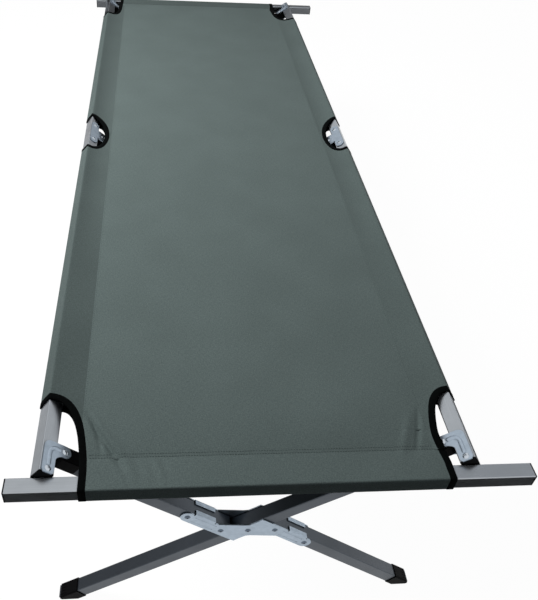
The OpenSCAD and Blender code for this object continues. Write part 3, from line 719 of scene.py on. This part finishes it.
# The folded tape's cross-section: from the inner line (0) to the edge (1), out on its nose, and over the canvas or,
# below 0, under it, in shares of the sizes above.
TAPE_SECTION = ((0, 0, 0.6), (0.1, 0, 0.95), (0.5, 0, 1), (1, 0, 0.95), (1, 1, 0.5),
                (1, 1, -0.5), (1, 0, -0.95), (0.5, 0, -1), (0.1, 0, -0.95), (0, 0, -0.6))


def offset_line(points, distance, closed=False):
    """A line at a distance to the right of a polyline, both in the flat cloth."""
    points = np.array(points, float)
    if closed:
        ahead, behind = np.roll(points, -1, axis=0), np.roll(points, 1, axis=0)
    else:
        ahead, behind = np.vstack([points[1:], points[-1:]]), np.vstack([points[:1], points[:-1]])
    along = ahead - behind
    along /= np.linalg.norm(along, axis=1)[:, None]
    return points + np.stack([along[:, 1], -along[:, 0]], 1) * distance


def tape_band(edges, inners, first_normal, closed=False):
    """A folded tape between its edge line and its inner line, with a round nose on the edge."""
    count = len(edges)
    vertices, cut = [], []
    length, facing = 0.0, Vector(first_normal)
    for i, (edge, inner) in enumerate(zip(edges, inners)):
        ahead = edges[(i + 1) % count] if closed or i + 1 < count else edge
        behind = edges[i - 1] if closed or i else edge
        normal = (ahead - behind).cross(inner - edge).normalized()
        if normal.dot(facing) < 0:
            normal = -normal
        facing = normal
        out = (edge - inner).normalized()
        if i:
            length += (edge - edges[i - 1]).length
        over, under, nose = normal * TAPE_OVER, normal * TAPE_UNDER, out * TAPE_NOSE
        for j, (share, past, lift) in enumerate(TAPE_SECTION):
            point = inner.lerp(edge, share) + nose * past + (over if lift > 0 else under) * lift
            vertices.append(tuple(point))
            cut.append((length, j * 2.2 * MM))
    size = len(TAPE_SECTION)
    faces = grid_faces(count, size, closed=True)
    if closed:
        base = (count - 1) * size
        faces += [(base + c, base + (c + 1) % size, (c + 1) % size, c) for c in range(size)]
    else:
        faces += [tuple(range(size))[::-1], tuple(range((count - 1) * size, count * size))]
    return vertices, faces, cut


def corner_band(cloth, side, end):
    """From under the sleeve, out round the rail, over the ridge, across the deck and round the bar."""
    canvas = cloth.canvas
    section = cloth.sleeves[side]
    sign = ENDS[end]
    wide, bar_wide = cloth.corners[side, end][:2]
    # the edge is followed by x up to here, and by q from here on, as it turns towards the bar
    turn_x = 0.75 * wide
    under = [(run, x) for run, (x, _) in zip(*section.part(upper=False))
             if x < canvas.seam_in - 1 * MM and cloth.corner_q(side, end, x) > STRIP + 2 * MM]
    over = [(run, x) for run, (x, _) in zip(*section.part(upper=True)) if x < turn_x]
    flat = [(run, cloth.corner_q(side, end, x)) for run, x in under[::-1] + over[1:]]
    turn_q = cloth.corner_q(side, end, turn_x)
    flat.append((section.run_at(turn_x), turn_q))
    flat += [(section.run_at(cloth.corner_x(side, end, q)), q)
             for q in np.linspace(turn_q, 0, int(turn_q / (2.2 * MM)))[1:]]
    edges, inners = ([cloth.place(side, run, sign * (RAIL_END - q)) for run, q in line]
                     for line in (flat, offset_line(flat, -canvas.tape)))
    for points in (edges, inners):
        for point in points:
            if abs(point.y) > RAIL_END - canvas.cross_seam:
                point.z = cloth.pocket_level
    for y, z in pocket_path(cloth)[:-6]:
        if y > RAIL_END + 1 * MM or z < cloth.pocket_level - 2 * MM:
            edges.append(Vector((cloth.plan(side, bar_wide), sign * y, z)))
            inners.append(Vector((cloth.plan(side, bar_wide + canvas.tape), sign * y, z)))
    return edges, inners, (0, 0, -1), False


def middle_band(cloth, side):
    """A ring round a middle opening, over the sleeve's ridge and back along its underside."""
    canvas = cloth.canvas
    section = cloth.sleeves[side]
    flat = []
    for upper, way in ((True, -1), (False, 1)):
        edge = [(run, x) for run, (x, _) in zip(*section.part(upper)) if x < 0.3 * canvas.middle_wide]
        edge = edge if upper else edge[1:]
        turn = math.asin(edge[-1][1] / canvas.middle_wide) + 0.06
        deep = canvas.middle_wide * np.sin(np.linspace(turn, math.pi / 2, 22))
        half = edge + [(section.run_at(x, upper), x) for x in deep]
        flat += [(run, cloth.middle_y(side, x, way)) for run, x in half]
        flat += [(run, cloth.middle_y(side, x, -way)) for run, x in half[-2::-1]]
    edges, inners = ([cloth.place(side, run, y) for run, y in line]
                     for line in (flat, offset_line(flat, canvas.tape, closed=True)))
    return edges, inners, (SIDES[side], 0, 0), True


def make_tapes(cloth, side):
    """The tapes of one side, as one piece: both corner openings and the middle one."""
    vertices, faces, cut = [], [], []
    bands = [corner_band(cloth, side, end) for end in ENDS] + [middle_band(cloth, side)]
    for edges, inners, normal, closed in bands:
        v, f, c = tape_band(edges, inners, normal, closed)
        faces += moved(f, len(vertices))
        vertices += v
        cut += c
    return new_piece(f"{side}_binding_tape", vertices, faces, MATERIALS["tape"], cut)


# ---- seams ----

def stitches(name, lines, pitch, length, radius):
    """Rows of short sewn stitches along the given lines of (x, y, z) points."""
    vertices, faces, cut = [], [], []
    sides = 6
    ring = [(math.cos(a), math.sin(a)) for a in np.linspace(0, 2 * math.pi, sides, endpoint=False)]
    profile = ((0, 0.25), (0.2, 0.9), (0.8, 0.9), (1, 0.25))
    one = grid_faces(len(profile), sides, closed=True)
    one += [range(sides), range((len(profile) - 1) * sides, len(profile) * sides)]
    for line in lines:
        line = np.array(line, float)
        run = lengths(line)
        for at in np.arange(pitch, run[-1] - pitch, pitch):
            a, b = (Vector([np.interp(at + half, run, line[:, i]) for i in range(3)])
                    for half in (-length / 2, length / 2))
            along = (b - a).normalized()
            side = along.cross(Vector((0, 0, 1))).normalized()
            up = side.cross(along)
            base = len(vertices)
            for share, swell in profile:
                centre = a.lerp(b, share)
                for c, d in ring:
                    vertices.append(centre + (side * c * 1.2 + up * d) * radius * swell)
                    cut.append((share * length, c * radius))
            faces += moved(one, base)
    return new_piece(name, vertices, faces, MATERIALS["thread"], cut)


def make_cross_stitches(cloth):
    """Two rows beside each cross seam."""
    canvas = cloth.canvas
    lift = canvas.thickness / 2 + 0.1 * MM
    lines = []
    for end, sign in ENDS.items():
        for beside in (0.6 * MM, 5.4 * MM):
            q = canvas.cross_seam + beside
            y = sign * (RAIL_END - q)
            left, right = (cloth.plan(s, cloth.corner_x(s, end, q, canvas.tape + 1 * MM)) for s in SIDES)
            lines.append([(x, y, cloth.height(x, y) + lift) for x in np.linspace(left, right, 260)])
    return stitches("cross_seam_stitches", lines, pitch=4 * MM, length=2.6 * MM, radius=0.36 * MM)


def make_sleeve_stitches(cloth):
    """One row beside each sleeve seam."""
    canvas = cloth.canvas
    lift = canvas.thickness / 2 + 0.02 * MM
    lines = []
    for side in SIDES:
        stops = [RAIL_END - cloth.corner_q(side, end, canvas.seam_in, canvas.tape) - 4 * MM for end in ENDS]
        stops = [min(stop, RAIL_END - STRIP) for stop in stops]
        x = cloth.plan(side, canvas.seam_in + 2 * MM)
        lines.append([(x, y, cloth.height(x, y) + lift) for y in np.linspace(-stops[0], stops[1], 400)])
    return stitches("sleeve_seam_stitches", lines, pitch=5 * MM, length=2.2 * MM, radius=0.26 * MM)


# ---- operators ----

# Words in the CAD nodes' names and the finish they get. The first rule that fits holds.
FINISHES = (
    (("scissor_rivets",), "blued"), (("bracket", "plate"), "zinc"), (("rivets", "pins"), "bright"),
    (("plugs", "tops", "boots", "caps"), "nylon"), (("rail",), "aluminium_y"), (("bar",), "aluminium_x"),
    (("through_leg",), "aluminium_up_right"), (("half_leg",), "aluminium_up_left"),
)


class COT_OT_finishes(bpy.types.Operator):
    """Gives every metal and nylon piece of the frame its finish"""
    bl_idname = "cot.finishes"
    bl_label = "Finish the frame"

    def execute(self, context):
        MATERIALS.clear()
        MATERIALS.update(make_materials(context.scene.cot_colours))
        for name, node in frame["nodes"].items():
            found = [finish for words, finish in FINISHES if any(w in name for w in words)]
            if found:
                node.data.materials.clear()
                node.data.materials.append(MATERIALS[found[0]])
        return {"FINISHED"}


def declare(piece):
    """Reads the flat cut of a cloth from its cut layer; nothing is done with it."""
    layer = piece.data.uv_layers["cut"].data
    spots = np.empty(len(layer) * 2)
    layer.foreach_get("uv", spots)
    spots = spots.reshape(-1, 2)


class COT_OT_canvas(bpy.types.Operator):
    """Sews the deck, its sleeves and its end pockets"""
    bl_idname = "cot.canvas"
    bl_label = "Sew the canvas"

    def execute(self, context):
        cloth = Cloth(context.scene.cot_canvas)
        slot = "grey_green_canvas"
        threads = [dress(make_cross_stitches(cloth), slot), dress(make_sleeve_stitches(cloth), slot)]
        declare(dress(make_deck(cloth), slot, "deck_panel"))
        for side in SIDES:
            declare(dress(make_sleeve(cloth, side), slot, f"{side}_sleeves"))
        for end in ENDS:
            declare(dress(make_pocket(cloth, end), slot, f"{end}_pocket"))
        return {"FINISHED"}


class COT_OT_tape(bpy.types.Operator):
    """Binds the corner and middle openings with black tape"""
    bl_idname = "cot.tape"
    bl_label = "Bind the openings"

    def execute(self, context):
        cloth = Cloth(context.scene.cot_canvas)
        for side in SIDES:
            dress(make_tapes(cloth, side), "black_binding_tape", f"{side}_bindings")
        return {"FINISHED"}


class COT_OT_stage(bpy.types.Operator):
    """Sets the floor, the surround, the lamp, the cards and the camera"""
    bl_idname = "cot.stage"
    bl_label = "Set the stage"

    def execute(self, context):
        studio = context.scene.cot_studio
        make_floor(studio)
        make_world(context.scene, studio)
        make_lamp(studio)
        make_cards()
        make_camera(context.scene)
        context.scene.view_settings.view_transform = "Standard"
        return {"FINISHED"}


def seen_directly(tree):
    """1 for camera, glossy and transmission rays."""
    path = add_node(tree, "ShaderNodeLightPath").outputs
    seen = path["Is Camera Ray"]
    for ray in ("Is Glossy Ray", "Is Transmission Ray"):
        seen = add_node(tree, "ShaderNodeMath", {0: seen, 1: path[ray]}, operation="MAXIMUM").outputs[0]
    return seen


def make_panel(name, corners, material):
    """A flat panel of the stage between four corners."""
    mesh = bpy.data.meshes.new(name)
    mesh.from_pydata(corners, [], [(0, 1, 2, 3)])
    mesh.materials.append(material)
    return new_object(name, mesh)


def make_floor(studio):
    """A plain white floor that keeps a faint shadow."""
    material, tree = new_material("white_floor")
    plain = add_node(tree, "ShaderNodeBsdfDiffuse", {"Color": linear("#bfbfbf")})
    white = add_node(tree, "ShaderNodeEmission", {"Strength": 1.11})
    share = add_node(tree, "ShaderNodeMath", {0: seen_directly(tree), 1: 1 - studio.shadow},
                     operation="MULTIPLY")
    mix = add_node(tree, "ShaderNodeMixShader", {
        0: share.outputs[0], 1: plain.outputs[0], 2: white.outputs[0]})
    add_node(tree, "ShaderNodeOutputMaterial", {"Surface": mix.outputs[0]})
    corners = [(30 * x, 30 * y, 0) for x, y in ((-1, -1), (1, -1), (1, 1), (-1, 1))]
    floor = make_panel("floor", corners, material)
    floor.location.z = -0.2 * MM


def make_world(scene, studio):
    """White where it is seen or mirrored, and a low even light for the rest."""
    world = bpy.data.worlds.new("white_surround")
    tree = cleared(world)
    white = add_node(tree, "ShaderNodeBackground", {"Color": (1, 1, 1, 1), "Strength": 1})
    soft = add_node(tree, "ShaderNodeBackground", {"Color": linear("#f4f7ff"), "Strength": studio.sky})
    mix = add_node(tree, "ShaderNodeMixShader", {
        0: seen_directly(tree), 1: soft.outputs[0], 2: white.outputs[0]})
    add_node(tree, "ShaderNodeOutputWorld", {"Surface": mix.outputs[0]})
    scene.world = world


def make_lamp(studio):
    """The key lamp, left of the deck."""
    place, aim = Vector((-1.4, 0.2, 1.95)), Vector((-0.1, 0, 0.4))
    data = bpy.data.lights.new("key_lamp", "AREA")
    data.energy = studio.key
    data.size = 1.1
    lamp = new_object("key_lamp", data)
    lamp.location = place
    lamp.rotation_mode = "QUATERNION"
    lamp.rotation_quaternion = (aim - place).to_track_quat("-Z", "Y")
    # the metal mirrors the white surround and the cards instead, as in a light tent
    lamp.visible_glossy = False


# Cards around the cot that the camera never sees: three corners, from which the fourth follows, the glow, and
# whether the metal mirrors them and they shade the canvas.
CARDS = {
    "front_card": ((-1.3, -1.28, 0.25), (1.3, -1.28, 0.25), (1.3, -1.03, 0.25), 0, True, True),
    "hem_card": ((-1.5, -2.6, 0.12), (1.5, -2.6, 0.12), (1.5, -1.02, 0.12), 0, False, True),
    "head_card": ((-1.2, 1.9, 0), (1.2, 1.9, 0), (1.2, 1.9, 0.9), 0, True, False),
    "under_card": ((-0.9, -0.7, 0.001), (1.1, -0.7, 0.001), (1.1, 0.7, 0.001), 0, True, False),
    "right_card": ((0.6, -0.7, 1.7), (1.4, -0.7, 1.2), (1.4, 0.5, 1.2), 0.6, True, False),
    "left_card": ((-1.5, -0.9, 0.01), (-1.5, 2.2, 0.01), (-1.5, 2.2, 0.9), 0.4, True, False),
}


def make_cards():
    """Dark and pale cards that shape what the metal mirrors and shade the canvas's hems."""
    for name, (a, b, c, glow, mirrored, shades) in CARDS.items():
        material = surfaced(new_material(name)[0], {
            "Base Color": linear("#222324"), "Roughness": 0.9, "Specular IOR Level": 0.1,
            "Emission Color": linear("#f2f4f8"), "Emission Strength": glow})
        card = make_panel(name, (a, b, c, tuple(np.array(a) + c - b)), material)
        card.visible_camera = False
        card.visible_shadow = False
        card.visible_glossy = mirrored
        card.visible_diffuse = shades


# The viewing angle: the camera's place, its turn, downward tilt and roll in degrees, its lens and its shift in
# view heights.
VIEW_WIDTH, VIEW_HEIGHT = 538, 600
CAMERA = {"place": (-0.16667, -1.51326, 1.27309), "turn": 7.104, "tilt": 41.286, "roll": 4.428,
          "lens": 676.396 / VIEW_HEIGHT,
          "shift": ((VIEW_WIDTH / 2 - 222.685) / VIEW_HEIGHT, (290.797 - VIEW_HEIGHT / 2) / VIEW_HEIGHT)}


def make_camera(scene):
    """The camera at its viewing angle."""
    turn, tilt, roll = (math.radians(CAMERA[k]) for k in ("turn", "tilt", "roll"))
    ahead = Vector((math.sin(turn) * math.cos(tilt), math.cos(turn) * math.cos(tilt), -math.sin(tilt)))
    level = Vector((math.cos(turn), -math.sin(turn), 0))
    upright = level.cross(ahead)
    right = level * math.cos(roll) + upright * math.sin(roll)
    up = upright * math.cos(roll) - level * math.sin(roll)
    data = bpy.data.cameras.new("camera")
    data.sensor_width = 36
    data.lens = CAMERA["lens"] * data.sensor_width
    data.shift_x, data.shift_y = CAMERA["shift"]
    data.clip_start = 0.01
    camera = new_object("camera", data)
    turned = Matrix((right, up, -ahead)).transposed().to_4x4()
    camera.matrix_world = Matrix.Translation(CAMERA["place"]) @ turned
    scene.camera = camera


class COT_PT_panel(bpy.types.Panel):
    """Lists the cot's settings and steps"""
    bl_label = "Folding camp cot"
    bl_idname = "COT_PT_panel"
    bl_space_type = "VIEW_3D"
    bl_region_type = "UI"
    bl_category = "Cot"

    def draw(self, context):
        layout = self.layout
        for group in GROUPS:
            settings, box = getattr(context.scene, group), layout.box()
            for name in settings.__annotations__:
                box.prop(settings, name)
        for step in STEPS:
            layout.operator(step.bl_idname)


GROUPS = {"cot_canvas": CotCanvas, "cot_colours": CotColours, "cot_studio": CotStudio}
STEPS = (COT_OT_finishes, COT_OT_canvas, COT_OT_tape, COT_OT_stage)
CLASSES = (*GROUPS.values(), *STEPS, COT_PT_panel)


def register():
    for kind in CLASSES:
        bpy.utils.register_class(kind)
    for name, kind in GROUPS.items():
        setattr(bpy.types.Scene, name, bpy.props.PointerProperty(type=kind))


def unregister():
    for name in GROUPS:
        delattr(bpy.types.Scene, name)
    for kind in reversed(CLASSES):
        bpy.utils.unregister_class(kind)


def main():
    register()
    bpy.ops.cot.finishes()
    bpy.ops.cot.canvas()
    bpy.ops.cot.tape()
    bpy.ops.cot.stage()


if __name__ == "__main__":
    main()
